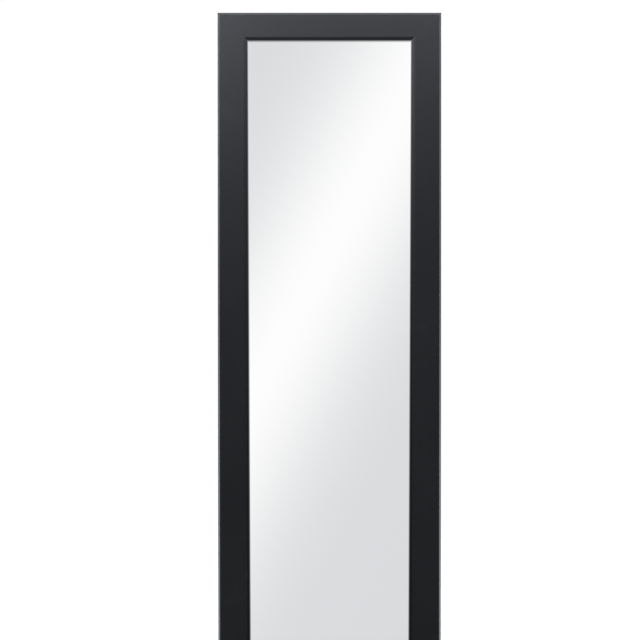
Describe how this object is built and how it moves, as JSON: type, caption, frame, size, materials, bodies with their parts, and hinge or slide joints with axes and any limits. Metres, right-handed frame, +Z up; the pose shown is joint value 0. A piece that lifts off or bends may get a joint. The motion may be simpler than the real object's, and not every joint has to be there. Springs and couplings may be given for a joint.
{
  "type": "pull out closet mirror",
  "caption": "Tall framed mirror for a wardrobe side, on a telescopic slide that pulls out and a swivel that turns it to face the user.",
  "frame": {"origin": "middle of the four wall screws, on the back face of the wall plate, halfway up the mirror", "axes": "+Z up along the mirror's height, +X the way the mirror pulls out, +Y into the cabinet side, so the glass faces -Y"},
  "size_m": [0.34, 0.053, 1],
  "materials": {
    "frame_black": "satin black powder coat on aluminium",
    "mirror_silver": "silvered float glass",
    "zinc_plate": "bright zinc-plated sheet steel",
    "rolled_steel": "cold-rolled zinc-plated strip, lightly greased",
    "ball_steel": "polished bearing steel",
    "bracket_black": "black powder-coated steel",
    "screw_zinc": "bright zinc-plated fastener",
    "pin_steel": "ground steel",
    "bush_polymer": "natural acetal",
    "bumper_plastic": "moulded nylon",
    "pad_rubber": "matt rubber",
    "tape_foam": "closed-cell foam tape",
    "film_clear": "grey safety backing film",
    "board_brown": "hardboard",
    "bead_black": "extruded plastic",
    "key_cast": "die-cast zinc alloy"
  },
  "bodies": {
    "wall_rail": {"wall_plate": "zinc_plate", "rest_pad": "pad_rubber", "cabinet_member": "rolled_steel", "member_rivets": "screw_zinc", "rear_bumper": "bumper_plastic"},
    "outer_cage": {"outer_ball_cage": "zinc_plate", "outer_balls": "ball_steel"},
    "intermediate": {"intermediate_member": "rolled_steel"},
    "inner_cage": {"inner_ball_cage": "zinc_plate", "inner_balls": "ball_steel"},
    "carriage": {"inner_member": "rolled_steel", "clinch_nuts": "screw_zinc", "swivel_bracket": "bracket_black", "bracket_screws": "screw_zinc", "pivot_pin": "pin_steel", "disc_springs": "pin_steel", "lock_nut": "screw_zinc"},
    "mirror": {"hinge_leaf": "bracket_black", "upper_bush": "bush_polymer", "lower_bush": "bush_polymer", "leaf_screws": "screw_zinc", "nut_strip": "zinc_plate", "top_rail": "frame_black", "bottom_rail": "frame_black", "left_stile": "frame_black", "right_stile": "frame_black", "corner_key_top_left": "key_cast", "corner_key_top_right": "key_cast", "corner_key_bottom_left": "key_cast", "corner_key_bottom_right": "key_cast", "corner_screws": "screw_zinc", "mirror_glass": "mirror_silver", "glazing_tape": "tape_foam", "safety_film": "film_clear", "backing_board": "board_brown", "top_bead": "bead_black", "bottom_bead": "bead_black", "left_bead": "bead_black", "right_bead": "bead_black"}
  },
  "joints": [
    {"name": "first_stage_slide", "type": "slide", "parent": "wall_rail", "child": "intermediate", "axis": [1, 0, 0], "range_m": [0, 0.15]},
    {"name": "second_stage_slide", "type": "slide", "parent": "intermediate", "child": "carriage", "axis": [1, 0, 0], "range_m": [0, 0.15]},
    {"name": "outer_cage_slide", "type": "slide", "parent": "wall_rail", "child": "outer_cage", "axis": [1, 0, 0], "range_m": [0, 0.075]},
    {"name": "inner_cage_slide", "type": "slide", "parent": "intermediate", "child": "inner_cage", "axis": [1, 0, 0], "range_m": [0, 0.075]},
    {"name": "mirror_swing", "type": "hinge", "parent": "carriage", "child": "mirror", "pos_m": [0.16, -0.027, 0], "axis": [0, 0, 1], "range_deg": [0, 180]}
  ],
  "couplings": [
    {"joint": "second_stage_slide", "follows": "first_stage_slide", "ratio": 1},
    {"joint": "outer_cage_slide", "follows": "first_stage_slide", "ratio": 0.5},
    {"joint": "inner_cage_slide", "follows": "first_stage_slide", "ratio": 0.5}
  ]
}
